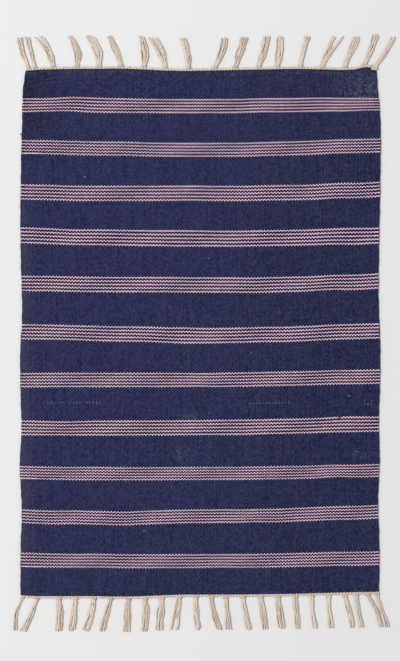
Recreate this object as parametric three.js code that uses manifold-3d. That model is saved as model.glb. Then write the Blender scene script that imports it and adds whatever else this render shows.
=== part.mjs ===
// A hand-woven cotton kilim rug, lying flat: one plain-woven cloth, and past each of its two ends
// a narrow strip of turned warp ends that carries a row of knotted warp tassels.
// Millimetres. X runs along the wefts, Y along the warps and Z is up.
// The origin is the middle of the cloth's underside, which lies on the floor at Z = 0.
import * as THREE from "three";
import { mergeVertices } from "three/addons/utils/BufferGeometryUtils.js";
import Module from "manifold-3d";

const wasm = await Module();
wasm.setup();

// The cloth
const CLOTH_LENGTH = 892;
const CLOTH_THICKNESS = 3.8;
const CLOTH_COLUMNS = 20;
const CLOTH_ROWS = 28;

// The cloth's soft unevenness: how far its upper face rises and falls, and over what lengths
const SWELL = { height: 0.45, across: 165, along: 210 };
const RIPPLE = { height: 0.25, across: 74, along: 91 };

// The strip of turned warp ends, which lies a hair's breadth past the cloth
const STRIP_GAP = 0.3;
const STRIP_WIDTH = 4.4;
const STRIP_HEIGHT = 3.4;
const STRIP_SEGMENTS = 44;

// The knot at the root of each tassel, an arched lump round the whole bundle of warp ends
const KNOT_WIDTH = 11.4;
const KNOT_LENGTH = 4.8;
const KNOT_HEIGHT = { crown: 5, sides: 3.3 };
const KNOT_SEGMENTS = 4;
const KNOT_OVERLAP = 1.6;

// The locks of warp ends in each tassel, side by side on the floor
const LOCKS = 5;
const LOCK_SEGMENTS = 4;
const LOCK_HEIGHT = { root: 3, tip: 2 };
const LOCK_SHARE = 0.78;
const LOCK_TOP_SHARE = 0.6;
const WIDEST_LOCK = 2.6;
const BUNDLE_WIDTH = 8.4;
const LEAN_POWER = 1.15;
const FAN_POWER = 1.5;
const TIP_UNEVENNESS = 3;

// The two selvedges, by the distance along the cloth from its far end
const SELVEDGES = [
  { along: 0, left: -297.5, right: 300 },
  { along: 25, left: -301, right: 301.5 },
  { along: 55, left: -302.6, right: 305 },
  { along: 110, left: -303.6, right: 307.2 },
  { along: 180, left: -305.3, right: 306.8 },
  { along: 310, left: -305.8, right: 304.4 },
  { along: 370, left: -303.8, right: 303.6 },
  { along: 440, left: -303.6, right: 304.8 },
  { along: 485, left: -306.6, right: 306.8 },
  { along: 620, left: -304.4, right: 304.2 },
  { along: 665, left: -307.2, right: 305.6 },
  { along: 760, left: -303.4, right: 302.6 },
  { along: 810, left: -305.8, right: 305.2 },
  { along: 892, left: -305.6, right: 304.3 },
];

// The two woven ends, by the place across the cloth
const ENDS = [
  { across: -306, far: 443.5, near: -446.8 },
  { across: -270, far: 446.4, near: -448.5 },
  { across: -190, far: 447.5, near: -448.2 },
  { across: -110, far: 447.3, near: -449 },
  { across: -60, far: 444.7, near: -446.8 },
  { across: -15, far: 444.1, near: -445.7 },
  { across: 60, far: 445.6, near: -445.7 },
  { across: 150, far: 447.3, near: -444.6 },
  { across: 200, far: 446.9, near: -443.2 },
  { across: 247, far: 445.6, near: -442.2 },
  { across: 272, far: 447.2, near: -441.8 },
  { across: 308, far: 444.6, near: -441 },
];

// The tassels of the far end: where each is knotted, how far its tip leans and how wide it fans there
const FAR_TASSELS = [
  { root: -292, lean: -14.5, fan: 8 },
  { root: -281, lean: -14.5, fan: 10 },
  { root: -250, lean: -27, fan: 18 },
  { root: -210, lean: -13, fan: 9 },
  { root: -172.3, lean: -19, fan: 13 },
  { root: -135.2, lean: -21, fan: 12 },
  { root: -96.2, lean: -5, fan: 10 },
  { root: -60.2, lean: -24, fan: 18 },
  { root: -20.8, lean: -10, fan: 14 },
  { root: 24, lean: 20, fan: 12 },
  { root: 59.7, lean: 15.5, fan: 14 },
  { root: 99, lean: 14, fan: 12 },
  { root: 130.7, lean: 5, fan: 11 },
  { root: 170.3, lean: 14, fan: 11 },
  { root: 206.9, lean: 31, fan: 21 },
  { root: 245.6, lean: 22, fan: 12 },
  { root: 278.7, lean: 21, fan: 12 },
  { root: 297, lean: 32.5, fan: 9 },
];
const FAR_LENGTH = 53;

// The tassels of the near end
const NEAR_TASSELS = [
  { root: -302, lean: -12, fan: 8 },
  { root: -277.8, lean: -24, fan: 11 },
  { root: -241, lean: -1.5, fan: 11 },
  { root: -212.6, lean: -7, fan: 9 },
  { root: -181.6, lean: -13.5, fan: 14 },
  { root: -153.2, lean: -14.8, fan: 11 },
  { root: -122.7, lean: -3, fan: 10 },
  { root: -94, lean: -2, fan: 11 },
  { root: -65.6, lean: -2, fan: 13 },
  { root: -36.4, lean: -8.3, fan: 15 },
  { root: -7.8, lean: 5, fan: 9 },
  { root: 18.5, lean: 14, fan: 11 },
  { root: 43.2, lean: 5, fan: 9 },
  { root: 72.7, lean: 11, fan: 10 },
  { root: 102.7, lean: 9, fan: 11 },
  { root: 132, lean: 7, fan: 11 },
  { root: 161.3, lean: 6, fan: 9 },
  { root: 189.4, lean: 7, fan: 10 },
  { root: 218.3, lean: 5, fan: 10 },
  { root: 245.5, lean: 13, fan: 9 },
  { root: 265, lean: 10.5, fan: 9 },
  { root: 284.5, lean: 24, fan: 9 },
  { root: 300.5, lean: 19, fan: 9 },
];
const NEAR_LENGTH = 57;

// A smooth curve through one column of a table, read at any place along its first column.
function curveOf(table, place, column) {
  const places = table.map((row) => row[place]);
  const values = table.map((row) => row[column]);
  const curve = new THREE.CubicInterpolant(places, values, 1, new Float32Array(1));
  return (at) => curve.evaluate(at)[0];
}

const leftEdge = curveOf(SELVEDGES, "along", "left");
const rightEdge = curveOf(SELVEDGES, "along", "right");
const farEnd = curveOf(ENDS, "across", "far");
const nearEnd = curveOf(ENDS, "across", "near");

// A soft wave over the cloth, from -height to height.
function wave({ height, across, along }, x, y) {
  return height * Math.sin((2 * Math.PI * x) / across + 1) * Math.cos((2 * Math.PI * y) / along);
}

// A unit box in segments, with each corner point moved by place(x, y, z) from its range of -0.5 to 0.5.
function shapedBox(xSegments, ySegments, place) {
  const box = new THREE.BoxGeometry(1, 1, 1, xSegments, ySegments, 1);
  const points = box.getAttribute("position");
  for (let i = 0; i < points.count; i++) {
    points.setXYZ(i, ...place(points.getX(i), points.getY(i), points.getZ(i)));
  }
  return box;
}

function wovenCloth() {
  return shapedBox(CLOTH_COLUMNS, CLOTH_ROWS, (across, along, up) => {
    const down = 0.5 - along;
    const left = leftEdge(down * CLOTH_LENGTH);
    const right = rightEdge(down * CLOTH_LENGTH);
    const x = THREE.MathUtils.lerp(left, right, across + 0.5);
    const y = THREE.MathUtils.lerp(farEnd(x), nearEnd(x), down);
    const top = CLOTH_THICKNESS + wave(SWELL, x, y) + wave(RIPPLE, x, y);
    return [x, y, up > 0 ? top : 0];
  });
}

// The strip along one end, from selvedge to selvedge. Outwards is 1 at the far end and -1 at the near one.
function turnedStrip(edge, outwards, left, right) {
  const shape = (across, width, up) => {
    const x = THREE.MathUtils.lerp(left, right, across + 0.5);
    const share = outwards * width + 0.5;
    const y = edge(x) + outwards * (STRIP_GAP + share * STRIP_WIDTH);
    return [x, y, up > 0 ? STRIP_HEIGHT : 0];
  };
  return shapedBox(STRIP_SEGMENTS, 1, shape);
}

// How far past the cloth the tassels leave the strip.
const ROOT = STRIP_GAP + STRIP_WIDTH - KNOT_OVERLAP;

// The knot of one tassel, flat on the floor and arched from side to side.
function knot(edge, outwards, tassel) {
  const middle = edge(tassel.root) + outwards * (ROOT + KNOT_LENGTH / 2);
  return shapedBox(KNOT_SEGMENTS, 1, (width, along, up) => {
    const top = THREE.MathUtils.lerp(KNOT_HEIGHT.crown, KNOT_HEIGHT.sides, (2 * width) ** 2);
    return [tassel.root + width * KNOT_WIDTH, middle + along * KNOT_LENGTH, up > 0 ? top : 0];
  });
}

// One lock of a tassel. Side runs from -1, the leftmost lock, to 1.
function lock(edge, outwards, tassel, length, side, number) {
  const start = edge(tassel.root) + outwards * (ROOT + KNOT_LENGTH / 2);
  const longest = length - KNOT_LENGTH / 2;
  const reach = 1 - (TIP_UNEVENNESS / longest) * Math.sin(2.4 * number) ** 2;
  return shapedBox(1, LOCK_SEGMENTS, (width, along, up) => {
    const out = (outwards * along + 0.5) * reach;
    const fan = THREE.MathUtils.lerp(BUNDLE_WIDTH, tassel.fan, out ** FAN_POWER);
    const pitch = fan / (LOCKS - 1);
    const middle = tassel.root + tassel.lean * out ** LEAN_POWER + (side * fan) / 2;
    const narrowed = up > 0 ? LOCK_TOP_SHARE : 1;
    const x = middle + width * Math.min(WIDEST_LOCK, LOCK_SHARE * pitch) * narrowed;
    const height = THREE.MathUtils.lerp(LOCK_HEIGHT.root, LOCK_HEIGHT.tip, out);
    return [x, start + outwards * out * longest, up > 0 ? height : 0];
  });
}

// A closed geometry as a solid that can be joined to others.
function solidOf(geometry) {
  geometry.deleteAttribute("normal");
  geometry.deleteAttribute("uv");
  const merged = mergeVertices(geometry, 1e-3);
  return new wasm.Manifold(
    new wasm.Mesh({
      numProp: 3,
      vertProperties: merged.getAttribute("position").array,
      triVerts: new Uint32Array(merged.index.array),
    }),
  );
}

function geometryOf(solid) {
  const { vertProperties, triVerts } = solid.getMesh();
  return new THREE.BufferGeometry()
    .setAttribute("position", new THREE.BufferAttribute(vertProperties, 3))
    .setIndex(new THREE.BufferAttribute(triVerts, 1));
}

// The strip of one end with all its knots and locks, joined at their roots.
function fringe(edge, outwards, tassels, length, left, right) {
  const pieces = [turnedStrip(edge, outwards, left, right)];
  tassels.forEach((tassel, place) => {
    pieces.push(knot(edge, outwards, tassel));
    for (let i = 0; i < LOCKS; i++) {
      const side = (2 * i) / (LOCKS - 1) - 1;
      pieces.push(lock(edge, outwards, tassel, length, side, place * LOCKS + i));
    }
  });
  return geometryOf(wasm.Manifold.union(pieces.map(solidOf)));
}

function namedMesh(name, geometry, material) {
  const mesh = new THREE.Mesh(geometry, material);
  mesh.name = name;
  return mesh;
}

const navyCotton = new THREE.MeshStandardMaterial({ color: 0x2e3250, roughness: 0.95, metalness: 0 });
const ecruCotton = new THREE.MeshStandardMaterial({ color: 0xd9c9b6, roughness: 0.9, metalness: 0 });

const farCorners = [leftEdge(0), rightEdge(0)];
const nearCorners = [leftEdge(CLOTH_LENGTH), rightEdge(CLOTH_LENGTH)];

const rug = new THREE.Group();
rug.add(
  namedMesh("woven_cloth", wovenCloth(), navyCotton),
  namedMesh("fringe_far", fringe(farEnd, 1, FAR_TASSELS, FAR_LENGTH, ...farCorners), ecruCotton),
  namedMesh("fringe_near", fringe(nearEnd, -1, NEAR_TASSELS, NEAR_LENGTH, ...nearCorners), ecruCotton),
);

export default rug;
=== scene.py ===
import math

import bpy
import numpy as np
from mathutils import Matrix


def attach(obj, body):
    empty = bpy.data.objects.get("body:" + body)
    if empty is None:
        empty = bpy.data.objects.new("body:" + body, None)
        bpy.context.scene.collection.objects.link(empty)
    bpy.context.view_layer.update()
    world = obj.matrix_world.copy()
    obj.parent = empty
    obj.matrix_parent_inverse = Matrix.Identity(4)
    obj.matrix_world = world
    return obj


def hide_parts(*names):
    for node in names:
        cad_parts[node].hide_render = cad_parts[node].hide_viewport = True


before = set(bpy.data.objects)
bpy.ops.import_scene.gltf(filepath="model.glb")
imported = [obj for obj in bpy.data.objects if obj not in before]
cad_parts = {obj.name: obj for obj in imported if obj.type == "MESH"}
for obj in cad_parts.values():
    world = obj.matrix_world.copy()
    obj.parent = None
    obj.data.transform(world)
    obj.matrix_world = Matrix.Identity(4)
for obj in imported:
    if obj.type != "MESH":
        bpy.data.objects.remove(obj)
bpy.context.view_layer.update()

rng = np.random.default_rng(11)
MM = 0.001

# The weave: warps from selvedge to selvedge, and picks, which are numbered from the far end. A weft
# floats over every second warp, and the next pick floats over the warps between.
WARPS = 223
WARP_PITCH = 2.74
PICK_PITCH = 1.36

# The warps stand a little wider in some places than in others: the share of the way across the cloth,
# how far that reaches and the shift there. They also wander a little, and so do the picks, except for
# the first and last few.
WARP_SHIFTS = ((0.38, 0.14, 3.6), (0.74, 0.1, 1.4))
WARP_WANDER = {"shift": 0.3, "warps": 7.3, "along": 160}
PICK_WANDER = (
    {"rise": 0.16, "across": 21, "turn": 1.7},
    {"rise": 0.1, "across": 8, "turn": 2.9},
)
CALM_PICKS = 8

# The bands, counted in picks: from one pink line to the next, from the first pick of a band to its last,
# from the cloth's end to the first band, and from one band to the next
LINE_PICKS = 4
BAND_PICKS = 18
FIRST_BAND = 34
BAND_TO_BAND = 56
BAND_LINES = BAND_PICKS // LINE_PICKS + 1

# The middle of each band, up or down from the cloth's own middle, at five places across the cloth,
# and the pitch of its pink lines. Some lines start flat and thick at the left selvedge, as the line
# of that number does over the given warps. The picks also bend a little where some warps were slacker,
# in all the bands or in one, and most bands are pinched or, below 0, spread: the place across the cloth
# and how far there. The lines' zigzag is as tall in every band as in one of the usual line pitch, or the
# given number of times as tall.
BAND_PLACES = (-295, -150, 0, 150, 295)
SHARED_BENDS = ((228, 0.7), (75, -0.3))
BEND_REACH = 30
USUAL_LINE_PITCH = 5.8
BANDS = (
    {
        "middle": (386.0, 385.5, 384.4, 386.0, 387.6),
        "line_pitch": 5.36,
        "bends": ((-218, 1.5), (100, 0.8), (240, -1.0)),
        "pinches": ((-262, 0.8), (-190, -0.8), (-140, -0.4), (240, 0.4), (290, 1.5)),
    },
    {
        "middle": (314.9, 311.8, 310.1, 312.5, 317.2),
        "line_pitch": 5.27,
        "zigzag": 1.1,
        "flat": {4: 13},
        "bends": ((-130, 0.7),),
    },
    {
        "middle": (238.1, 236.0, 236.6, 237.3, 242.4),
        "line_pitch": 5.75,
        "zigzag": 1.14,
        "bends": ((-259, 0.7), (30, -0.6), (75, -0.5), (235, 0.7)),
    },
    {
        "middle": (164.7, 161.0, 159.5, 160.5, 164.0),
        "line_pitch": 6.04,
        "bends": ((-215, -0.8), (45, -0.5)),
        "pinches": ((-215, 0.4), (-28, -0.5), (261, -0.8)),
    },
    {
        "middle": (82.8, 81.0, 80.8, 81.4, 86.6),
        "line_pitch": 5.81,
        "bends": ((-255, 0.7), (-10, -0.4), (40, -0.4), (95, -0.8), (220, 0.8)),
        "pinches": ((205, 0.5),),
    },
    {
        "middle": (0.7, -3.0, -6.1, -3.5, 2.0),
        "line_pitch": 5.76,
        "bends": ((-120, 0.6), (-85, 1.0), (-25, 0.4), (55, 0.5), (100, 1.0)),
        "pinches": ((-230, 0.4), (-28, -0.8)),
    },
    {
        "middle": (-81.6, -81.2, -80.8, -78.9, -75.7),
        "line_pitch": 5.39,
        "bends": ((25, -0.7),),
        "pinches": ((-5, 0.6),),
    },
    {
        "middle": (-162.6, -163.0, -162.2, -159.9, -156.4),
        "line_pitch": 5.66,
        "bends": ((-262, -0.4), (-225, -0.6), (255, 0.5)),
        "pinches": ((-262, 0.4), (-225, 0.6), (58, -0.4), (255, -0.7)),
    },
    {
        "middle": (-238.8, -240.7, -240.2, -238.7, -235.3),
        "line_pitch": 4.85,
        "flat": {4: 10},
        "bends": ((-180, 0.3), (225, 0.6)),
        "pinches": ((-180, -0.4), (240, 0.6)),
    },
    {
        "middle": (-313.3, -315.5, -312.6, -310.1, -305.5),
        "line_pitch": 5.13,
        "bends": ((-215, 1.1), (-128, -1.6), (-70, -0.4), (15, -0.6), (70, -0.9), (130, -1.3)),
        "pinches": ((90, 0.5),),
    },
    {
        "middle": (-387.3, -389.2, -389.2, -387.8, -384.4),
        "line_pitch": 5.19,
        "zigzag": 1.12,
        "flat": {4: 11},
        "bends": ((-172, 0.6), (30, 0.4), (174, 0.5)),
        "pinches": ((-288, -0.6), (30, 0.4)),
    },
)

# The cloth's faces: its height and soft waves are those of its solid, the warps raise ribs in it, and
# it lies a little lower in the bands, so that the pink floats stand out of it. The dip starts and is
# full at these numbers of picks before the band. Each navy field is a few steps of faces long.
CLOTH_THICKNESS = 3.8
SWELL = {"height": 0.45, "across": 165, "along": 210}
RIPPLE = {"height": 0.25, "across": 74, "along": 91}
RIB_DEPTH = 0.55
BAND_DIP = 0.5
DIP_START = 0.9
DIP_FULL = 0.2
NAVY_STEPS = 5

# The selvedge cord at each side, wound by the turns of the wefts, and its small waves: how far each
# shifts it and how long it is. The outer warps lie this far inside the edge.
SELVEDGE_RADIUS = 1.8
SELVEDGE_HEIGHT = SELVEDGE_RADIUS + 0.1
SELVEDGE_WANDER = ((0.2, 6.1), (0.2, 2.7), (0.15, 17))
SELVEDGE_INSET = 1.6
SELVEDGE_SIDES = 8

# By the far right corner the last warps end lower than their neighbours
CORNER_STEP = {"from": 262, "top": 282, "to": 290.3, "rise": 4.2}

# The strip of turned warp ends past each end of the cloth: its core, and the turned yarns laid over it,
# which start under the last pick, reach past the strip's middle and lean over one warp or more
STRIP_MIDDLE = 2.3
STRIP_HALF_WIDTH = 1.7
STRIP_HEIGHT = 2.5
STRIP_LIFT = 0.05
STRIP_POINTS = 300
STRIP_SIDES = 8
TURN_RADIUS = 1.15
TURN_POINTS = 7
TURN_FOOT = 1.0
TURN_TOP = 2.3
TURN_START = -0.5
TURN_REACH = (3.3, 4.1)
TURN_LEAN = (1.0, 1.5)

# The tassels' yarns: their size and twist, and how much shorter than the longest they may be
YARN_RADIUS = 0.98
YARN_SIDES = 6
YARN_STATIONS = 48
PLY_PITCH = 7.5
PLY_DEPTH = 0.08
TIP_UNEVENNESS = 4.0

# Where the knot is past the cloth's end, and half its width. The yarns gather in it and then fan out
# again: half the width of all of them, at some places past the cloth's end. Then come the tassel's own
# width halfway and its tip, which is a little narrower than that of its solid. A few yarns stray.
KNOT_PLACE = 4.6
KNOT_HALF_WIDTH = 4.2
KNOT_YARN_RADIUS = 0.85
YARN_START = 2.4
GATHERING = ((YARN_START, 6.5), (3.6, 4.2), (KNOT_PLACE, 3.3), (8, 2.9))
HALFWAY = 27
TIP_SHARE = 0.86
STRAY_SHARE = 0.09

# How far each tassel bows out of its straight course to the right, and how wide it is halfway. Those of
# the given numbers fork at the tip, at the given place from -1 at their left side to 1 at the right.
FAR_BOWS = (-2.5, -0.5, 3.5, 5, 5.5, 2, 2.9, 3.5, 2.6, 3.3, 1.2, 2.4, 2.4, 0, -0.5, 0.8, 3, 2.5)
FAR_WIDTHS = (5, 7, 12, 10, 12, 7.5, 12.5, 13, 11, 10, 8.5, 9.5, 10.5, 7.5, 15, 10.5, 9.5, 8.5)
FAR_FORKS = {2: -0.35, 14: 0.35}
NEAR_BOWS = (-5.5, -0.5, 2, 0.6, 1.2, -0.4, 0.3, 1.8, -0.6, 0.4, -1.5, -1, 1, -0.3, 0.4, 0.2, 0.3, -1,
             -0.8, 3, -1.5, 5, -1)
NEAR_WIDTHS = (5.5, 7, 10, 9, 11, 12, 8, 9.7, 12, 10.5, 9, 8, 6.5, 7, 9, 10, 7.5, 6.8,
               6.5, 6.3, 6.5, 6.5, 7)
NEAR_FORKS = {9: 0.1}

# The tassels of these numbers, at the corners, have fewer yarns than the rest
FAR_THIN = {0: 6, 1: 7}
NEAR_THIN = {0: 4, 1: 7, 21: 8, 22: 7}

# Neps, the small lumps of pale fibre spun into the weft: place and size of those that show most
NEPS = (
    (253, -108, 2.5), (-196, 264, 2.4), (-95, -338, 2.2), (-175, -122, 1.7), (-27, -37, 1.7),
    (15, 126, 1.6), (248, 284, 1.5), (87, -35, 1.5), (-240, -136, 1.5), (-202, -190, 1.5),
    (279, -117, 1.5), (-32, -59, 1.5), (267, 419, 1.1), (-41, 194, 1.3), (-158, 410, 1.4),
    (255, 21, 1.6), (262, -207, 1.2), (292, -117, 1.6), (16, -137, 1.4), (1, -184, 1.1),
)
SMALL_NEPS = 70

# One pick of paler yarn, between the seventh and eighth bands, shows in three stretches, on most warps
PALE_PICK = {"y": -119, "share": 0.9, "stretches": ((-262, -166), (80, 156), (276, 292))}


def packed_points(node):
    """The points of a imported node, in millimetres."""
    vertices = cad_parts[node].data.vertices
    points = np.empty(len(vertices) * 3, np.float32)
    vertices.foreach_get("co", points)
    return points.reshape(-1, 3).astype(float) / MM


def curve_through(places, values):
    order = np.argsort(places)
    places, values = np.asarray(places)[order], np.asarray(values)[order]
    return lambda at: np.interp(at, places, values)


def cloth_outline():
    """The two selvedges, as x at y, and the two woven ends, as y at x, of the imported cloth."""
    points = packed_points("woven_cloth")
    points = points[points[:, 2] < 0.01]
    points = points[np.argsort(-points[:, 1])]
    rows = np.split(points, np.flatnonzero(np.diff(points[:, 1]) < -10) + 1)
    left = np.array([row[row[:, 0].argmin()] for row in rows])
    right = np.array([row[row[:, 0].argmax()] for row in rows])
    return (
        curve_through(left[:, 1], left[:, 0]),
        curve_through(right[:, 1], right[:, 0]),
        curve_through(rows[0][:, 0], rows[0][:, 1]),
        curve_through(rows[-1][:, 0], rows[-1][:, 1]),
    )


left_edge, right_edge, plain_far_end, near_end = cloth_outline()


def far_end(x):
    step = CORNER_STEP
    rise = np.clip((x - step["from"]) / (step["top"] - step["from"]), 0, 1) * (x < step["to"])
    return plain_far_end(x) + step["rise"] * rise


def bend(x, place, rise):
    return rise * np.exp(-((x - place) / BEND_REACH) ** 2)


def band_curve(band, side):
    """One edge of a band, the far one for side 1 and the near one for side -1, as y at x."""
    middle = np.polynomial.Polynomial.fit(BAND_PLACES, band["middle"], len(BAND_PLACES) - 1)
    half = band["line_pitch"] * BAND_PICKS / LINE_PICKS / 2
    bends = SHARED_BENDS + band.get("bends", ())
    pinches = band.get("pinches", ())

    def curve(x):
        pinched = half - sum(bend(x, *pinch) for pinch in pinches)
        return middle(x) + side * pinched + sum(bend(x, *each) for each in bends)

    return curve


def marked_picks():
    """The picks whose place is known: both ends of the cloth, and the first and last of each band."""
    marks = [(0, far_end)]
    for number, band in enumerate(BANDS):
        first = FIRST_BAND + number * BAND_TO_BAND
        marks.append((first, band_curve(band, 1)))
        marks.append((first + BAND_PICKS, band_curve(band, -1)))
    marks.append((marks[-1][0] + FIRST_BAND, near_end))
    return marks


MARKS = marked_picks()
PICKS = MARKS[-1][0]


def pick_y(x, pick):
    """Where a pick crosses the place x, evenly spaced from one marked pick to the next."""
    x, pick = np.broadcast_arrays(np.asarray(x, float), np.asarray(pick, float))
    y = np.zeros(x.shape)
    for (pick_0, curve_0), (pick_1, curve_1) in zip(MARKS, MARKS[1:]):
        inside = (pick >= pick_0) & (pick <= pick_1)
        share = (pick[inside] - pick_0) / (pick_1 - pick_0)
        y[inside] = curve_0(x[inside]) * (1 - share) + curve_1(x[inside]) * share
    y[pick < 0] = far_end(x[pick < 0]) - pick[pick < 0] * PICK_PITCH
    y[pick > PICKS] = near_end(x[pick > PICKS]) - (pick[pick > PICKS] - PICKS) * PICK_PITCH
    calm = np.clip(np.minimum(pick, PICKS - pick) / CALM_PICKS, 0, 1)
    wander = sum(each["rise"] * np.sin(x / each["across"] + pick * each["turn"]) for each in PICK_WANDER)
    return y + calm * wander


def woven(warp, pick):
    """The place of a warp at a pick, seen from above."""
    warp, pick = np.broadcast_arrays(np.asarray(warp, float), np.asarray(pick, float))
    y = pick_y(np.zeros(warp.shape), pick)
    left, right = left_edge(y) + SELVEDGE_INSET, right_edge(y) - SELVEDGE_INSET
    share = warp / WARPS
    waves = np.sin(warp / WARP_WANDER["warps"] + y / WARP_WANDER["along"])
    wander = WARP_WANDER["shift"] * waves * np.sin(share * math.pi)
    wander += sum(shift * np.exp(-((share - place) / reach) ** 2) for place, reach, shift in WARP_SHIFTS)
    x = left + (right - left) * share + wander
    return x, pick_y(x, pick)


def wave(shape, x, y):
    across = np.sin(2 * math.pi * x / shape["across"] + 1)
    return shape["height"] * across * np.cos(2 * math.pi * y / shape["along"])


def face_height(x, y, upper):
    """The height of a face of the cloth at the crest of its ribs."""
    if not upper:
        return np.zeros(np.shape(x))
    return CLOTH_THICKNESS + wave(SWELL, x, y) + wave(RIPPLE, x, y)


def rib(warp):
    """How far the face falls between two warps, from 0 on a warp's crest to 1."""
    return 1 - np.abs(np.sin(math.pi * warp))


def smooth(value):
    value = np.clip(value, 0, 1)
    return value * value * (3 - 2 * value)


# Meshes

# A part of a mesh is its points and its groups of faces: the points of each face, the weave coordinates
# of each face's corners, and whether the faces are shaded smooth.

def new_piece(name, parts, material):
    mesh = bpy.data.meshes.new(name)
    points = np.concatenate([part["points"].reshape(-1, 3) for part in parts])
    sides, loops, corners, smooth_faces = [], [], [], []
    start = 0
    for part in parts:
        for faces, weave, is_smooth in part["faces"]:
            sides.append(np.full(len(faces), faces.shape[1]))
            loops.append(faces.ravel() + start)
            corners.append(weave.reshape(-1, 2))
            smooth_faces.append(np.full(len(faces), is_smooth))
        start += part["points"].size // 3
    sides, loops = np.concatenate(sides), np.concatenate(loops)
    mesh.vertices.add(len(points))
    mesh.vertices.foreach_set("co", (points * MM).astype(np.float32).ravel())
    mesh.loops.add(len(loops))
    mesh.loops.foreach_set("vertex_index", loops.astype(np.int32))
    mesh.polygons.add(len(sides))
    mesh.polygons.foreach_set("loop_start", (np.cumsum(sides) - sides).astype(np.int32))
    mesh.polygons.foreach_set("use_smooth", np.concatenate(smooth_faces))
    mesh.update(calc_edges=True)
    layer = mesh.uv_layers.new(name="weave")
    layer.data.foreach_set("uv", np.concatenate(corners).astype(np.float32).ravel())
    mesh.materials.append(material)
    mesh.validate()
    piece = bpy.data.objects.new(name, mesh)
    bpy.context.scene.collection.objects.link(piece)
    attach(piece, "root")
    return piece


def tubes(rings, around, along):
    """Closed tubes from rings of points, tubes x stations x sides x 3. The weave coordinates are given
    around each ring, with one more value than it has sides, and along the stations."""
    count, stations, sides = rings.shape[:3]
    index = np.arange(count * stations * sides).reshape(count, stations, sides)
    turned = np.roll(index, -1, axis=2)
    quads = np.stack([index[:, :-1], turned[:, :-1], turned[:, 1:], index[:, 1:]], axis=-1)
    u = np.broadcast_to(around, (count, stations, sides + 1))
    v = np.broadcast_to(along, (count, stations))[..., None] + np.zeros(sides + 1)
    weave = np.stack([u, v], axis=-1)
    near, far = weave[:, :-1], weave[:, 1:]
    corners = np.stack([near[:, :, :-1], near[:, :, 1:], far[:, :, 1:], far[:, :, :-1]], axis=-2)
    caps = np.concatenate([index[:, 0, ::-1], index[:, -1]])
    cap_corners = np.concatenate([weave[:, 0, :-1][:, ::-1], weave[:, -1, :-1]])
    faces = [(quads.reshape(-1, 4), corners, True), (caps, cap_corners, False)]
    return {"points": rings, "faces": faces}


def rings_about(centres, radii, sides, ply_pitch=0, ply_depth=0):
    """Rings of points round centre lines, tubes x stations x 3. With a ply pitch the section has two lobes
    that turn along the line, as in a yarn twisted from two plies."""
    steps = np.gradient(centres, axis=1)
    tangent = steps / np.linalg.norm(steps, axis=-1, keepdims=True)
    side = np.cross(tangent, [0.0, 0.0, 1.0])
    side /= np.linalg.norm(side, axis=-1, keepdims=True)
    up = np.cross(side, tangent)
    angles = np.arange(sides) * 2 * math.pi / sides
    size = np.ones(centres.shape[:2] + (sides,))
    if ply_pitch:
        walked = np.cumsum(np.linalg.norm(steps, axis=-1), axis=1)
        size += ply_depth * np.cos(2 * (angles - 2 * math.pi * walked[..., None] / ply_pitch))
    size = (size * np.broadcast_to(radii, centres.shape[:2])[..., None])[..., None]
    turned = np.cos(angles)[:, None] * side[:, :, None] + np.sin(angles)[:, None] * up[:, :, None]
    return centres[:, :, None] + size * turned


# Materials

def linear(hex_colour):
    """An sRGB hex colour, such as "2e3250", as linear red, green, blue and alpha."""
    values = [int(hex_colour[i:i + 2], 16) / 255 for i in (0, 2, 4)]
    return [v / 12.92 if v <= 0.04045 else ((v + 0.055) / 1.055) ** 2.4 for v in values] + [1]


def add(tree, kind, inputs=None, **settings):
    """Adds a shader node with its settings, and sets or links each input by its name or number."""
    node = tree.nodes.new("ShaderNode" + kind)
    for name, value in settings.items():
        setattr(node, name, value)
    for key, value in (inputs or {}).items():
        if isinstance(value, bpy.types.Node):
            value = value.outputs[0]
        if isinstance(value, bpy.types.NodeSocket):
            tree.links.new(value, node.inputs[key])
        else:
            node.inputs[key].default_value = value
    return node


def cotton(name):
    """Dull spun cotton: no gloss but the soft bloom of its fibres, which catch light from the side."""
    material = bpy.data.materials.new(name)
    material.use_nodes = True
    tree = material.node_tree
    tree.nodes.clear()
    surface = add(tree, "BsdfPrincipled", {
        "Roughness": 0.92,
        "IOR": 1.53,
        "Specular IOR Level": 0.2,
        "Sheen Weight": 0.06,
        "Sheen Roughness": 0.5,
    })
    add(tree, "OutputMaterial", {"Surface": surface})
    return material, tree, surface


# How fast the tones and the hue of the weft change, in waves for each warp across and each pick along:
# along a pick, down a warp and over the cloth. The fibres are drawn coarser than they are, so that they
# show.
TONE_WAVES = ((0.035, 0.5), (0.8, 0.012), (0.045, 0.018))
HUE_WAVES = (0.31, 0.2, 1.0)
WEFT_FIBRES = (2.0, 6.0, 1.0)
WARP_FIBRES = (9.0, 9.0, 1.0)

# The darkest that a dyed float gets, and how much red, green and blue count in its brightness
DEEPEST_DYE = (0.002, 0.002, 0.004)
GREY_WEIGHTS = (0.21, 0.72, 0.07)


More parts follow.
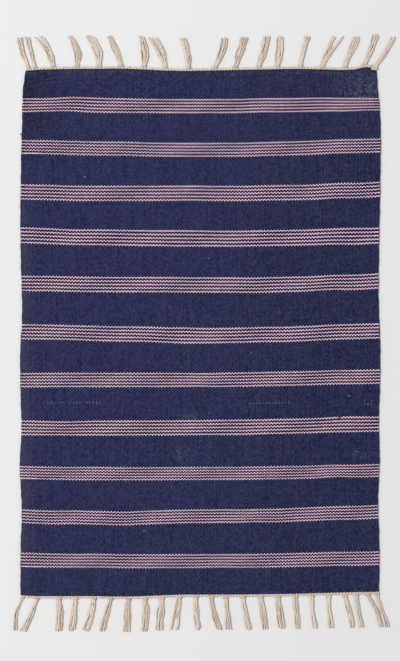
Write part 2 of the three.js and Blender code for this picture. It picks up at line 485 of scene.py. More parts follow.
def weft_cotton(name, colour, other_hue, tones, groove_shade, painted_band_shade=1.0, worn_places=()):
    """Soft dyed weft yarn, beaten close over the warps, so that the eye sees rows of small rounded floats,
    each a little lighter or darker than the next, with painted shade in the grooves between them. Tones
    are how much the brightness changes from float to float, along a pick, down a warp and over the cloth.
    Between the lines of a band the floats get painted shade, as if they lay deep in the shade of the pink
    ones."""
    material, tree, surface = cotton(name)
    place = add(tree, "UVMap", uv_map="weave")
    weave = add(tree, "SeparateXYZ", {0: place})
    warp, pick = weave.outputs[0], weave.outputs[1]
    column = add(tree, "Math", {0: warp}, operation="FLOOR")
    odd = add(tree, "Math", {0: column, 1: 2.0}, operation="FLOORED_MODULO")
    pair = add(tree, "Math", {0: pick, 1: odd}, operation="ADD")
    shot = add(tree, "Math", {0: pair, 1: 0.5, 2: -0.25}, operation="MULTIPLY_ADD")
    row = add(tree, "Math", {0: shot}, operation="FLOOR")
    float_place = add(tree, "CombineXYZ", {0: column, 1: row})
    float_tone = add(tree, "TexWhiteNoise", {"Vector": float_place}, noise_dimensions="2D")

    # The brightness is 1 on the whole, and each tone moves it up or down by its share. Every second warp's
    # floats lie a little deeper, and painted shade makes their colour a little darker.
    share = tones[0]
    base = add(tree, "Math", {0: odd, 1: -0.2 * share, 2: 1 - 0.9 * share}, operation="MULTIPLY_ADD")
    own_tone = {0: float_tone.outputs["Value"], 1: 2 * share, 2: base}
    brightness = add(tree, "Math", own_tone, operation="MULTIPLY_ADD")
    for (across, along), share in zip(TONE_WAVES, tones[1:]):
        scaled = add(tree, "VectorMath", {0: place, 1: (across, along, 1.0)}, operation="MULTIPLY")
        noise = add(tree, "TexNoise", {"Vector": scaled, "Scale": 1.0, "Detail": 2.0})
        centred = add(tree, "Math", {0: noise, 1: 2 * share, 2: -share}, operation="MULTIPLY_ADD")
        brightness = add(tree, "Math", {0: brightness, 1: centred}, operation="ADD")

    # A float's rounded form: crown goes from 0 in its grooves to 1 on its top
    crowns = []
    for part in (warp, shot):
        inside = add(tree, "Math", {0: part}, operation="FRACT")
        centred = add(tree, "Math", {0: inside, 1: 2.0, 2: -1.0}, operation="MULTIPLY_ADD")
        squared = add(tree, "Math", {0: centred, 1: centred}, operation="MULTIPLY")
        crowns.append(add(tree, "Math", {0: 1.0, 1: squared}, operation="SUBTRACT"))
    crown = add(tree, "Math", {0: crowns[0], 1: crowns[1]}, operation="MULTIPLY")
    # Painted shade: each float's colour darkens from its top towards its grooves, down to the groove shade
    shade = add(tree, "MapRange", {0: crown, 1: 0.0, 2: 0.45, 3: groove_shade, 4: 1.0})
    brightness = add(tree, "Math", {0: brightness, 1: shade}, operation="MULTIPLY")
    # Painted shade: between the lines of a band the floats' colour is darkened by the band shade factor
    past = add(tree, "Math", {0: pick, 1: 0.5 - FIRST_BAND}, operation="ADD")
    past = add(tree, "Math", {0: past, 1: float(BAND_TO_BAND)}, operation="FLOORED_MODULO")
    in_band = add(tree, "Math", {0: past, 1: BAND_PICKS + 1.0}, operation="LESS_THAN")
    band_shade = add(tree, "Math", {0: in_band, 1: painted_band_shade - 1, 2: 1.0}, operation="MULTIPLY_ADD")
    brightness = add(tree, "Math", {0: brightness, 1: band_shade}, operation="MULTIPLY")

    hue_noise = add(tree, "TexNoise", {
        "Vector": add(tree, "VectorMath", {0: place, 1: HUE_WAVES}, operation="MULTIPLY"),
        "Scale": 1.0,
        "Detail": 1.0,
    })
    mixed = add(tree, "Mix", {
        0: hue_noise,
        6: linear(colour),
        7: linear(other_hue),
    }, data_type="RGBA").outputs[2]

    # A second chance value for each float says how much it is rubbed in the worn places
    rubbed_place = add(tree, "CombineXYZ", {0: column, 1: row, 2: 7.0})
    rubbed = add(tree, "TexWhiteNoise", {"Vector": rubbed_place}, noise_dimensions="3D")
    for worn in worn_places:
        mixed = worn_place(tree, mixed, rubbed, **worn)

    # Loose fibre ends whiten the paler floats, so that they turn greyer than the deep ones. The same tint
    # carries the painted shade of the grooves and bands, so that the shaded floats turn darker and more
    # saturated.
    dye = linear(colour)[:3]
    grey = sum(weight * part for weight, part in zip(GREY_WEIGHTS, dye))
    bloom = tuple((part + grey) / 2 for part in dye)
    change = add(tree, "Math", {0: brightness, 1: 1.0}, operation="SUBTRACT")
    change = add(tree, "VectorMath", {0: bloom, "Scale": change}, operation="SCALE")
    shaded = add(tree, "VectorMath", {0: mixed, 1: change}, operation="ADD")
    shaded = add(tree, "VectorMath", {0: shaded, 1: DEEPEST_DYE}, operation="MAXIMUM")
    tree.links.new(shaded.outputs[0], surface.inputs["Base Color"])

    # The floats' relief, with the yarn's own fibres over it
    fibre_place = add(tree, "VectorMath", {0: place, 1: WEFT_FIBRES}, operation="MULTIPLY")
    fibres = add(tree, "TexNoise", {"Vector": fibre_place, "Scale": 1.0, "Detail": 3.0})
    round_top = add(tree, "Math", {0: crown, 1: 0.6}, operation="POWER")
    relief = add(tree, "Math", {0: fibres, 1: 0.25, 2: round_top}, operation="MULTIPLY_ADD")
    bump = add(tree, "Bump", {"Strength": 0.8, "Distance": 0.35 * MM, "Height": relief})
    tree.links.new(bump.outputs[0], surface.inputs["Normal"])
    return material


def worn_place(tree, colour, rubbed, middle, reach, tint, amount, left_alone=-1.0):
    """A rubbed, dusty or darker place, where another tone shows over the dye, on some floats more than on
    others. Left alone is the share of the floats that it doesn't reach. Below 0, it reaches all of them
    more evenly."""
    place = add(tree, "TexCoord").outputs["Object"]
    shift = (-middle[0] * MM, -middle[1] * MM, 0.0)
    moved = add(tree, "VectorMath", {0: place, 1: shift}, operation="ADD")
    stretch = (1 / (reach[0] * MM), 1 / (reach[1] * MM), 0.0)
    scaled = add(tree, "VectorMath", {0: moved, 1: stretch}, operation="MULTIPLY")
    distance = add(tree, "VectorMath", {0: scaled}, operation="LENGTH")
    from_middle, chance = distance.outputs["Value"], rubbed.outputs["Value"]
    inside = add(tree, "MapRange", {0: from_middle, 1: 0.3, 2: 1.0, 3: 1.0, 4: 0.0})
    on_float = add(tree, "MapRange", {0: chance, 1: left_alone, 2: 1.0, 3: 0.0, 4: 1.0})
    share = add(tree, "Math", {0: inside, 1: on_float}, operation="MULTIPLY")
    share = add(tree, "Math", {0: share, 1: amount}, operation="MULTIPLY")
    mixed = add(tree, "Mix", {0: share, 6: colour, 7: linear(tint)}, data_type="RGBA")
    return mixed.outputs[2]


def warp_cotton(name, dark, light, painted_shade_colour):
    """Undyed cotton warp yarn, plied and left as spun, so that it is cream to straw-coloured, with painted
    shade in the grooves between its plies and on the low yarns of a tassel, and each yarn a little
    different."""
    material, tree, surface = cotton(name)
    place = add(tree, "UVMap", uv_map="weave")
    parts = add(tree, "SeparateXYZ", {0: place})
    yarn_tone = add(tree, "NewGeometry").outputs["Random Per Island"]
    soft = add(tree, "TexNoise", {
        "Vector": add(tree, "TexCoord").outputs["Object"],
        "Scale": 260.0,
        "Detail": 3.0,
    })
    tone = add(tree, "Math", {0: yarn_tone, 1: 0.65}, operation="MULTIPLY")
    tone = add(tree, "Math", {0: soft, 1: 0.35, 2: tone}, operation="MULTIPLY_ADD")
    colour = add(tree, "Mix", {0: tone, 6: linear(dark), 7: linear(light)}, data_type="RGBA")

    # The groove between the two plies winds round the yarn once for each turn of ply. It is painted in a
    # warm brown shade colour, and so are the sides of the yarns low in a tassel, the more the lower they
    # lie.
    wound = add(tree, "Math", {0: parts.outputs[0], 1: parts.outputs[1]}, operation="SUBTRACT")
    angle = add(tree, "Math", {0: wound, 1: 4 * math.pi}, operation="MULTIPLY")
    lobe = add(tree, "Math", {0: angle}, operation="COSINE")
    on_top = add(tree, "MapRange", {0: lobe, 1: -1.0, 2: 0.2, 3: 0.65, 4: 1.0})
    in_rug = add(tree, "TexCoord").outputs["Object"]
    height = add(tree, "SeparateXYZ", {0: in_rug}).outputs[2]
    lit = add(tree, "MapRange", {0: height, 1: 1.0 * MM, 2: 2.4 * MM, 3: 0.35, 4: 1.0})
    on_top = add(tree, "Math", {0: on_top, 1: lit}, operation="MULTIPLY")
    shaded = add(tree, "Mix", {0: on_top, 6: linear(painted_shade_colour), 7: colour.outputs[2]}, data_type="RGBA")
    tree.links.new(shaded.outputs[2], surface.inputs["Base Color"])

    fibre_place = add(tree, "VectorMath", {0: place, 1: WARP_FIBRES}, operation="MULTIPLY")
    fibres = add(tree, "TexNoise", {"Vector": fibre_place, "Scale": 1.0, "Detail": 3.0})
    bump = add(tree, "Bump", {"Strength": 0.7, "Distance": 0.2 * MM, "Height": fibres})
    tree.links.new(bump.outputs[0], surface.inputs["Normal"])
    return material


def pale_fibre(name, colour):
    """Matted undyed fibre, thin enough for the blue yarn under it to show through as a grey tinge."""
    material, _, surface = cotton(name)
    surface.inputs["Base Color"].default_value = linear(colour)
    return material


# Where the navy weft is dusty, rubbed or darker, and where the pink lines are duller or stained
WORN_PLACES = (
    {"middle": (276, 412), "reach": (58, 44), "tint": "959bab", "amount": 0.21, "left_alone": 0.25},
    {"middle": (-300, 400), "reach": (60, 115), "tint": "1d1b21", "amount": 0.52},
    {"middle": (-304, 60), "reach": (27, 250), "tint": "6a626c", "amount": 0.17},
    {"middle": (-304, -270), "reach": (27, 260), "tint": "6a626c", "amount": 0.17},
    {"middle": (250, -30), "reach": (190, 800), "tint": "1c1f3a", "amount": 0.26},
    {"middle": (-32, -206), "reach": (28, 17), "tint": "76757f", "amount": 0.26, "left_alone": 0.5},
    {"middle": (276, -206), "reach": (38, 15), "tint": "76757f", "amount": 0.24, "left_alone": 0.5},
    {"middle": (-20, -143), "reach": (22, 9), "tint": "706d74", "amount": 0.32, "left_alone": 0.4},
)
DULL_ENDS = (
    {"middle": (-302, 330), "reach": (22, 150), "tint": "8f7b70", "amount": 0.35},
    {"middle": (-302, 0), "reach": (14, 420), "tint": "a89096", "amount": 0.2},
    {"middle": (237, -144), "reach": (5, 5), "tint": "6f6236", "amount": 1.0},
)
NAVY = weft_cotton(
    "navy_weft_cotton", "262b4c", "282b4d", (0.42, 0.26, 0.42, 0.08), 0.6,
    painted_band_shade=0.55, worn_places=WORN_PLACES,
)
PINK = weft_cotton(
    "pink_weft_cotton", "f3d2e3", "f0c6da", (0.08, 0.05, 0.05, 0.05), 0.9,
    worn_places=DULL_ENDS,
)
TURNED = weft_cotton("turned_weft_cotton", "c4a6b6", "bfa0b2", (0.3, 0.2, 0.0, 0.0), 0.9)
PALE = weft_cotton("pale_weft_cotton", "565a80", "5b5d82", (0.3, 0.1, 0.0, 0.0), 0.8)
# The last colour of each warp cotton is its painted shade colour, for the ply grooves and the low yarns
ECRU = warp_cotton("undyed_warp_cotton", "cfc0b2", "eadfd4", "b2967d")
KNOTTED = warp_cotton("knotted_warp_cotton", "bca693", "d8c9bb", "99795f")
LOOSE = weft_cotton("loose_weft_cotton", "3f4060", "443f5c", (0.3, 0.1, 0.0, 0.0), 0.8)
NEP_FIBRE = pale_fibre("nep_fibre", "8f91a3")


# The cloth

def cloth_rows():
    """The picks at which the cloth's mesh has a row of points, and how far its faces dip there."""
    rows, dips = [0.0], [0.0]
    for number in range(len(BANDS)):
        first = FIRST_BAND + number * BAND_TO_BAND
        last = first + BAND_PICKS
        rows += list(np.linspace(rows[-1], first - DIP_START, NAVY_STEPS + 1)[1:])
        dips += [0.0] * NAVY_STEPS
        rows += [first - DIP_FULL, (first + last) / 2, last + DIP_FULL, last + DIP_START]
        dips += [BAND_DIP, BAND_DIP, BAND_DIP, 0.0]
    rows += list(np.linspace(rows[-1], PICKS, NAVY_STEPS + 1)[1:])
    dips += [0.0] * NAVY_STEPS
    return np.array(rows)[:, None], np.array(dips)[:, None]


def woven_cloth():
    """Both faces of the cloth in one closed sheet, ribbed by every warp."""
    picks, dips = cloth_rows()
    warps = np.arange(2 * WARPS + 1)[None, :] / 2
    x, y = woven(warps, picks)
    fall = RIB_DEPTH * rib(warps) + dips
    upper = np.stack([x, y, face_height(x, y, True) - fall], axis=-1)
    under = np.stack([x, y, face_height(x, y, False) + fall], axis=-1)
    rows, columns = x.shape
    index = np.arange(rows * columns).reshape(rows, columns)
    low = index + rows * columns
    weave = np.stack(np.broadcast_arrays(warps, picks), axis=-1).reshape(-1, 2)
    upper_faces = np.stack([index[:-1, :-1], index[1:, :-1], index[1:, 1:], index[:-1, 1:]], axis=-1)
    under_faces = np.stack([low[:-1, :-1], low[:-1, 1:], low[1:, 1:], low[1:, :-1]], axis=-1)
    rim = np.concatenate([index[0, :-1], index[:-1, -1], index[-1, :0:-1], index[:0:-1, 0]])
    following = np.roll(rim, -1)
    rim_faces = np.stack([rim, following, following + rows * columns, rim + rows * columns], axis=-1)
    groups = (upper_faces.reshape(-1, 4), under_faces.reshape(-1, 4), rim_faces)
    faces = [(group, weave[group % (rows * columns)], True) for group in groups]
    part = {"points": np.concatenate([upper.reshape(-1, 3), under.reshape(-1, 3)]), "faces": faces}
    return new_piece("cloth", [part], NAVY)


# Each float of a line stands this share of a pick up or down from the line's middle, except over the
# few warps by the selvedges where the line runs level. The floats differ a little in size, those of a
# line's flat start are taller, and all stand this far out of the cloth.
FLOAT_STEP = 0.41
LEVEL_WARPS = (1.5, 4.0)
FLOAT_SIZES = (0.92, 1.06)
FLAT_EXTRA = 0.25
FLOAT_RISE = 0.12

# A float's weave coordinates stay this far inside the edges of its own place, so that it has one tone
OWN_PLACE = 0.98

# A float seen from above is a small cushion: eight points round its foot and four on its top, across
# the warp and along it, from its middle to where the next floats start. On the cloth's underside it is
# a plain hipped form.
FLOAT_FOOT = np.array([
    (1.02, 0.5), (0.62, 0.91), (-0.62, 0.91), (-1.02, 0.5),
    (-1.02, -0.5), (-0.62, -0.91), (0.62, -0.91), (1.02, -0.5),
])
FLOAT_TOP = np.array([(0.66, 0.54), (-0.66, 0.54), (-0.66, -0.54), (0.66, -0.54)])
HIP_FOOT = np.array([(1.04, 0.9), (-1.04, 0.9), (-1.04, -0.9), (1.04, -0.9)])
HIP_TOP = np.array([(0.5, 0.0), (-0.5, 0.0)])
FLOAT_FACES = (
    [(8, 9, 10, 11)] + [(1, 2, 9, 8), (3, 4, 10, 9), (5, 6, 11, 10), (7, 0, 8, 11)],
    [(0, 1, 8), (2, 3, 9), (4, 5, 10), (6, 7, 11)],
    [(7, 6, 5, 4, 3, 2, 1, 0)],
)
HIP_FACES = ([(0, 1, 5, 4), (2, 3, 4, 5), (3, 2, 1, 0)], [(1, 2, 5), (3, 0, 4)])


def floats(
    first_pick, upper, warps=None, dip=0.0, foot=0.08, proud=FLOAT_RISE, flat_warps=0, steepness=1.0,
):
    """The floats of one pair of picks on one face of the cloth, one for each warp. The second pick's lie
    lower than the first one's, except near the selvedges, where both run level."""
    columns = np.arange(WARPS) if warps is None else warps
    odd = columns % 2
    step = np.where(odd == int(upper), -FLOAT_STEP, FLOAT_STEP) * steepness
    start, stop = rng.uniform(*LEVEL_WARPS, 2)
    from_sides = np.minimum((columns - flat_warps) / start, (WARPS - 1 - columns) / stop)
    middles = first_pick + 1 + step * np.clip(from_sides, 0.1, 1)
    feet, tops = (FLOAT_FOOT, FLOAT_TOP) if upper else (HIP_FOOT, HIP_TOP)
    shape = np.concatenate([feet, tops])
    wide, high = shape[:, 0], shape[:, 1]
    size = rng.uniform(*FLOAT_SIZES, (len(columns), 1)) + FLAT_EXTRA * (columns < flat_warps)[:, None]
    x, y = woven(columns[:, None] + 0.5 + 0.5 * wide, middles[:, None] + high * size)
    is_top = np.arange(len(shape)) >= len(feet)
    fall = np.where(is_top, -proud, dip + RIB_DEPTH * rib(0.5 + 0.5 * wide) + foot)
    z = face_height(x, y, upper) - (fall if upper else -fall)
    points = np.stack([x, y, z], axis=-1)
    own_pick = 2 * round(first_pick / 2) + 1 + (0.5 - odd)[:, None] + np.clip(high, -OWN_PLACE, OWN_PLACE)
    own_warp = columns[:, None] + 0.5 + 0.5 * np.clip(wide, -OWN_PLACE, OWN_PLACE)
    weave = np.stack([own_warp, own_pick], axis=-1).reshape(-1, 2)
    starts = np.arange(len(columns))[:, None, None] * len(shape)
    faces = []
    for group in FLOAT_FACES if upper else HIP_FACES:
        group = np.array(group)
        if upper:
            group = group[:, ::-1]
        index = (starts + group[None]).reshape(-1, group.shape[1])
        faces.append((index, weave[index], True))
    return {"points": points, "faces": faces}


# Where a line's wefts turn round the selvedge cord: the angles of the turn, from above to below, and its
# section, as picks along the cord and millimetres over it
WRAP_ANGLES = np.radians([95, 60, 20, -20, -60, -95])[:, None]
WRAP_SECTION = np.array([(-1.15, -0.5), (-0.6, 0.14), (0.6, 0.14), (1.15, -0.5)])


def selvedge_wraps(pick, line_pitch):
    """The turns of one line's wefts at both sides, from the upper face to the lower one."""
    wide, high = WRAP_SECTION[:, 0] * line_pitch / LINE_PICKS, WRAP_SECTION[:, 1]
    radius = SELVEDGE_RADIUS + high
    parts = []
    for side, edge in ((-1, left_edge), (1, right_edge)):
        y = pick_y(edge(pick_y(0, pick)), pick)
        x = edge(y) - side * SELVEDGE_RADIUS + side * radius * np.cos(WRAP_ANGLES)
        z = SELVEDGE_HEIGHT + radius * 1.02 * np.sin(WRAP_ANGLES)
        ring = np.stack(np.broadcast_arrays(x, y - side * wide, z), axis=-1)
        parts.append(tubes(ring[None], 0.5, pick + 0.19))
    return parts


def band_piece(number, band):
    """The pink lines of one band, on both faces."""
    first = FIRST_BAND + number * BAND_TO_BAND
    steepness = band.get("zigzag", 1) * USUAL_LINE_PITCH / band["line_pitch"]
    parts = []
    for line in range(BAND_LINES):
        pick = first + line * LINE_PICKS
        look = {"dip": BAND_DIP, "flat_warps": band.get("flat", {}).get(line, 0), "steepness": steepness}
        parts.append(floats(pick, True, **look))
        parts.append(floats(pick, False, proud=0.0, **look))
    return new_piece(f"pink_band_{number + 1:02d}", parts, PINK)


def line_turns():
    """Where the lines of all the bands turn round the selvedges, in a darker, duller pink than the rest of
    them.
    """
    parts = []
    for number, band in enumerate(BANDS):
        first = FIRST_BAND + number * BAND_TO_BAND
        for line in range(BAND_LINES):
            parts += selvedge_wraps(first + line * LINE_PICKS + 1, band["line_pitch"])
    return new_piece("line_turns", parts, TURNED)


def last_wefts(name, first_pick):
    """The last pair of picks at one end, which stand out over every other warp like small teeth."""
    parts = [floats(first_pick, True, foot=0.9), floats(first_pick, False, foot=0.9, proud=0.0)]
    return new_piece(name, parts, NAVY)


# The picks near the ends that are beaten less close, with the share of the warps where their floats show
# paler, and the places at the far end where more of them do
LOOSE_PICKS = ((2, 0.55), (4, 0.35), (PICKS - 3.5, 0.3))
OPEN_PLACES = ((-240, -100), (165, 240))


def loose_picks():
    """The paler floats of the outermost picks."""
    warps = np.arange(WARPS)
    x, _ = woven(warps + 0.5, 0)
    is_open = np.any([(x > start) & (x < stop) for start, stop in OPEN_PLACES], axis=0)
    parts = []
    for pick, share in LOOSE_PICKS:
        shows = rng.random(WARPS) < share * np.where(is_open & (pick < PICKS / 2), 1.5, 0.7)
        parts.append(floats(pick, True, warps=warps[shows], proud=0.06))
    return new_piece("loose_picks", parts, LOOSE)


def pale_pick():
    """The stretches of one paler pick, which floats over every second warp."""
    picks = np.linspace(0, PICKS, 4 * PICKS)
    warps = np.arange(WARPS)
    parts = []
    for start, stop in PALE_PICK["stretches"]:
        middle = (start + stop) / 2
        nearest = picks[np.abs(pick_y(middle, picks) - PALE_PICK["y"]).argmin()]
        pick = 2 * round(nearest / 2)
        x, _ = woven(warps + 0.5, pick)
        shows = rng.random(WARPS) < PALE_PICK["share"]
        chosen = warps[(x > start) & (x < stop) & (warps % 2 == 0) & shows]
        parts.append(floats(pick, True, warps=chosen, proud=0.1))
    return new_piece("pale_pick", parts, PALE)


def selvedge(name, side, edge):
    """The cord of outer warps at one side, with a turn of weft round it for every two picks."""
    picks = np.arange(0, PICKS + 0.01, 0.5)
    y = pick_y(np.zeros(len(picks)), picks)
    out = edge(y)
    y = pick_y(out, picks)
    waves = zip(SELVEDGE_WANDER, (0, 1, side))
    wander = sum(shift * np.sin(y / along + start) for (shift, along), start in waves)
    turn = np.abs(np.sin(math.pi * picks / 2 + side))
    turn_size = rng.uniform(0.9, 1.1, len(picks) // 4 + 2)[(picks // 2).astype(int)]
    radius = SELVEDGE_RADIUS * (0.8 + 0.22 * turn * turn_size)
    x = out - side * SELVEDGE_RADIUS + wander
    centre = np.stack([x, y, np.full(len(y), SELVEDGE_HEIGHT)], axis=-1)
    rings = rings_about(centre[None], radius[None], SELVEDGE_SIDES)
    around = np.linspace(0, 2, SELVEDGE_SIDES + 1)
    return new_piece(name, [tubes(rings, around, picks[None])], NAVY)


def nep(x, y, size):
    """A small lump along its weft, half sunk in the cloth."""
    share = np.array([-1, -0.6, 0, 0.6, 1])
    spin = rng.uniform(-0.4, 0.4)
    along = share * size * 0.6
    z = face_height(x, y, True) + 0.1 - 0.1 * share ** 2
    centre = np.stack([x + along, y + spin * along, z], axis=-1)
    radius = size * 0.36 * np.array([0.3, 0.85, 1, 0.8, 0.3]) * rng.uniform(0.85, 1.15, 5)
    return tubes(rings_about(centre[None], radius[None], 6), 0.5, 0.5)


def weft_knot():
    """A knot in one weft, which stands out of the left selvedge."""
    return new_piece("weft_knot", [nep(-304, 336.6, 3.6)], NAVY)


def neps():
    parts = [nep(*each) for each in NEPS]
    for _ in range(SMALL_NEPS):
        parts.append(nep(rng.uniform(-295, 295), rng.uniform(-435, 435), rng.uniform(0.6, 1.1)))
    return new_piece("neps", parts, NEP_FIBRE)


cloth = woven_cloth()
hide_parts("woven_cloth")
cloth_trim = [band_piece(number, band) for number, band in enumerate(BANDS)]
cloth_trim.append(line_turns())
cloth_trim.append(last_wefts("last_wefts_far", -0.5))
cloth_trim.append(last_wefts("last_wefts_near", PICKS - 1.5))
cloth_trim.append(selvedge("selvedge_left", -1, left_edge))
cloth_trim.append(selvedge("selvedge_right", 1, right_edge))
cloth_trim.append(loose_picks())
cloth_trim.append(pale_pick())
cloth_trim.append(neps())
cloth_trim.append(weft_knot())


# The fringes

def turned_edge(name, end, outwards):
    """The warp ends past the last pick, each turned over its neighbour and laid in a narrow cord."""
    start, stop = left_edge(end(0)) + 1, right_edge(end(0)) - 1
    core_x = np.linspace(start, stop, STRIP_POINTS)
    core_y = end(core_x) + outwards * STRIP_MIDDLE
    core_z = np.full(STRIP_POINTS, STRIP_HEIGHT / 2 + STRIP_LIFT)
    core = np.stack([core_x, core_y, core_z], axis=-1)
    angles = np.arange(STRIP_SIDES) * 2 * math.pi / STRIP_SIDES
    section = np.stack([
        np.zeros(STRIP_SIDES),
        STRIP_HALF_WIDTH * np.cos(angles),
        STRIP_HEIGHT / 2 * np.sin(angles),
    ], axis=-1)
    core_rings = (core[:, None] + section[None])[None]

    roots = start + (np.arange(WARPS) + 0.5) * (stop - start) / WARPS
    share = np.linspace(0, 1, TURN_POINTS)
    lean = WARP_PITCH * rng.uniform(*TURN_LEAN, WARPS)
    x = roots[:, None] + lean[:, None] * share
    reach = rng.uniform(*TURN_REACH, WARPS)
    y = end(roots)[:, None] + outwards * (TURN_START + (reach[:, None] - TURN_START) * share)
    z = TURN_FOOT + (TURN_TOP - TURN_FOOT) * np.sin(math.pi * share) ** 0.6
    z = z + rng.uniform(-0.12, 0.12, WARPS)[:, None]
    turns = rings_about(np.stack([x, y, z], axis=-1), TURN_RADIUS, YARN_SIDES)
    along = share[None] + rng.uniform(0, 1, WARPS)[:, None]
    parts = [
        tubes(core_rings, np.linspace(0, 1, STRIP_SIDES + 1), core_x[None] / PLY_PITCH),
        tubes(turns, np.linspace(0, 1, YARN_SIDES + 1), along),
    ]
    return new_piece(name, parts, ECRU)


def tassels_of(node, end, outwards):
    """Where each tassel of a packed fringe is knotted, where the middle of its tip is and how wide it
    fans, and how far out the longest reaches."""
    points = packed_points(node)
    roots = np.unique(points[points[:, 2] > points[:, 2].max() - 0.01, 0].round(1))
    out = outwards * (points[:, 1] - end(points[:, 0]))
    tips = np.sort(points[(out > out.max() - 8) & (points[:, 2] < 0.01), 0])
    fans = np.split(tips, len(roots))
    found = [(root, (fan[0] + fan[-1]) / 2, fan[-1] - fan[0]) for root, fan in zip(roots, fans)]
    return found, out.max()


def tassel_yarns(root, tip, fan, bow, width, fork, end, outwards, length, yarns, bulk):
    """The centre lines of one tassel's yarns, which gather from the strip into the knot and then lie in
    two loose layers to the tip. A fork parts the yarns at its sides in two groups. The bulk is the share
    of the usual number of yarns that gather here."""
    lower = yarns // 2 + 1
    lane = np.concatenate([np.linspace(-1, 1, lower), np.linspace(-0.8, 0.8, yarns - lower)])
    lane = (lane + rng.uniform(-0.08, 0.08, yarns))[:, None]
    layer = np.concatenate([np.zeros(lower), np.ones(yarns - lower)])[:, None]
    reach = (length - TIP_UNEVENNESS * rng.uniform(0, 1, yarns) ** 1.5)[:, None]
    out = YARN_START + (reach - YARN_START) * np.linspace(0, 1, YARN_STATIONS)[None, :]
    run = np.clip((out - KNOT_PLACE) / (length - KNOT_PLACE), 0, 1)
    places = [place for place, _ in GATHERING] + [HALFWAY, length]
    halves = [bulk * gathered for _, gathered in GATHERING]
    halves += [width / 2 - YARN_RADIUS, TIP_SHARE * fan / 2 - YARN_RADIUS]
    half = np.interp(out, places, halves)

    clump = 0.2 * np.sin(lane * rng.uniform(4, 8) + rng.uniform(0, 6)) * smooth(run * 2)
    swings = rng.uniform(2, 5, (yarns, 1))
    cross = 0.35 * np.sin(run * swings + rng.uniform(0, 6, (yarns, 1))) * smooth(run * 3)
    place = lane + clump + cross * (0.3 + 0.7 * layer)
    if fork is not None:
        parted = np.where(lane < fork, lane * 0.4 - 0.6, lane * 0.5 + 0.5)
        place = place + (parted - place) * smooth((run - 0.3) / 0.55)
    x = root + (tip - root) * run ** 1.15 + bow * np.sin(math.pi * run) + half * place
    strays = rng.random((yarns, 1)) < STRAY_SHARE
    x = x + strays * np.sign(lane) * rng.uniform(1, 3, (yarns, 1)) * np.sin(math.pi * run)
    for wavelength, height in ((27, 0.4), (11, 0.2)):
        phase = rng.uniform(0, 2 * math.pi, (yarns, 1))
        x = x + height * np.sin(2 * math.pi * out / wavelength + phase) * smooth(run * 6)
    y = end(root) + outwards * out
    lifted = 1 - 0.5 * smooth((half - 4) / 6)
    z = 1.2 + layer * 1.7 * lifted * (1 - strays) + 0.5 * (1 - smooth((out - KNOT_PLACE) / 6))
    z = z + 0.15 * np.sin(out / 4.3 + rng.uniform(0, 6, (yarns, 1)))
    return np.stack([x, y, np.maximum(z, YARN_RADIUS * 1.15)], axis=-1), out


def knot_loops(root, end, outwards, bulk):
    """The three wraps of a tassel's knot, each a tilted flat ring round the whole bundle."""
    turn = np.linspace(0, 2 * math.pi, 17)[None, :]
    number = np.array([-1.0, 0.0, 1.0])[:, None]
    half = KNOT_HALF_WIDTH * bulk ** 0.5 * rng.uniform(0.86, 1.06, (3, 1))
    x = root + half * np.cos(turn)
    tilt = rng.choice([-1, 1]) * rng.uniform(0.12, 0.26)
    y = end(root) + outwards * (KNOT_PLACE + 1.15 * number) + tilt * (x - root) + 0.35 * np.sin(turn)
    z = np.maximum(2.45 + 1.4 * np.sin(turn), 1.1) * np.ones((3, 1))
    return np.stack([x, y, z], axis=-1)


def fringe(name, node, end, outwards, bows, widths, forks, thin):
    """The tassels of one end and their knots, as two pieces."""
    tassels, length = tassels_of(node, end, outwards)
    usual = round(WARPS / len(tassels))
    lines, lengths, knots = [], [], []
    for number, (root, tip, fan) in enumerate(tassels):
        traits = (bows[number], widths[number], forks.get(number))
        yarns = thin.get(number, usual)
        bulk = yarns / usual
        found, out = tassel_yarns(root, tip, fan, *traits, end, outwards, length, yarns, bulk)
        lines.append(found)
        lengths.append(out)
        knots.append(knot_loops(root, end, outwards, bulk))
    lines, lengths, knots = np.concatenate(lines), np.concatenate(lengths), np.concatenate(knots)
    radius = YARN_RADIUS * rng.uniform(0.86, 1.1, (len(lines), 1)) * np.ones((1, YARN_STATIONS))
    radius[:, -1] *= 0.6
    around = np.linspace(0, 1, YARN_SIDES + 1)
    rings = rings_about(lines, radius, YARN_SIDES, PLY_PITCH, PLY_DEPTH)
    yarn_piece = new_piece(name, [tubes(rings, around, lengths / PLY_PITCH)], ECRU)
    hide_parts(node)
    knot_rings = rings_about(knots, KNOT_YARN_RADIUS, YARN_SIDES)
    knot_along = np.linspace(0, 4, knots.shape[1])[None] + rng.uniform(0, 1, (len(knots), 1))
    knot_part = tubes(knot_rings, around, knot_along)
    knot_piece = new_piece(name + "_knots", [knot_part], KNOTTED)
    return [yarn_piece, knot_piece]


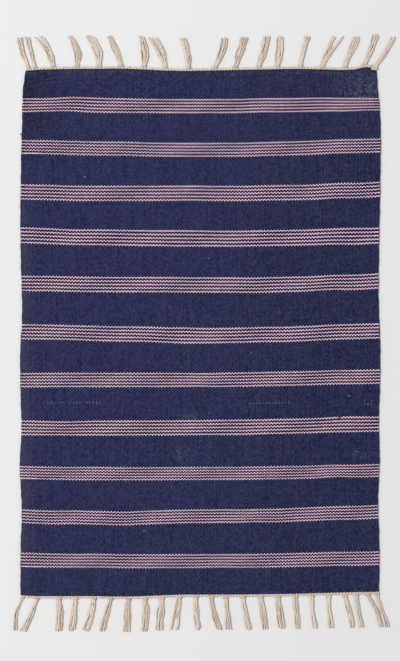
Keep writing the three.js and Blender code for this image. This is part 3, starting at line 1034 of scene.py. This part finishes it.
cloth_trim.append(turned_edge("turned_edge_far", far_end, 1))
cloth_trim.append(turned_edge("turned_edge_near", near_end, -1))
cloth_trim += fringe("tassels_far", "fringe_far", far_end, 1, FAR_BOWS, FAR_WIDTHS, FAR_FORKS, FAR_THIN)
cloth_trim += fringe(
    "tassels_near", "fringe_near", near_end, -1, NEAR_BOWS, NEAR_WIDTHS, NEAR_FORKS, NEAR_THIN,
)


# The floor, the light and the camera

# The floor is in metres, and the rest in millimetres or, for the photograph's height, in pixels
FLOOR_SIZE = 60.0
PIXEL = 1.70
PHOTO_HEIGHT = 661
LENS = 85
SENSOR = 36
CAMERA_AIM = (-0.2, 2.9)


def pale_floor():
    bpy.ops.mesh.primitive_plane_add(size=FLOOR_SIZE, location=(0, 0, -0.0003))
    floor = bpy.context.object
    floor.name = "floor"
    material = bpy.data.materials.new("pale_floor")
    material.use_nodes = True
    surface = material.node_tree.nodes["Principled BSDF"]
    surface.inputs["Base Color"].default_value = linear("dfdfdf")
    surface.inputs["Roughness"].default_value = 0.9
    floor.data.materials.append(material)


def soft_light():
    """One large soft lamp high up to the left of the rug, and an even pale room round it."""
    world = bpy.data.worlds.new("room")
    bpy.context.scene.world = world
    world.use_nodes = True
    background = world.node_tree.nodes["Background"]
    background.inputs["Color"].default_value = (1, 1, 1, 1)
    background.inputs["Strength"].default_value = 0.535
    lamp = bpy.data.lights.new("window", "AREA")
    lamp.shape = "RECTANGLE"
    lamp.size, lamp.size_y = 1.6, 1.6
    lamp.energy = 240
    light = bpy.data.objects.new("window", lamp)
    light.location = (-2.9, 0.8, 5.2)
    light.rotation_mode = "QUATERNION"
    light.rotation_quaternion = (-light.location).to_track_quat("-Z", "Y")
    bpy.context.scene.collection.objects.link(light)


def camera():
    """Straight above the rug, at the height where a pixel of the photograph covers PIXEL millimetres."""
    lens = bpy.data.cameras.new("camera")
    lens.lens = LENS
    lens.sensor_width = SENSOR
    view = bpy.data.objects.new("camera", lens)
    height = PHOTO_HEIGHT * PIXEL * LENS / SENSOR + CLOTH_THICKNESS
    view.location = (CAMERA_AIM[0] * MM, CAMERA_AIM[1] * MM, height * MM)
    lens.clip_end = 50
    bpy.context.scene.collection.objects.link(view)
    bpy.context.scene.camera = view


pale_floor()
soft_light()
camera()
bpy.context.scene.view_settings.view_transform = "Standard"
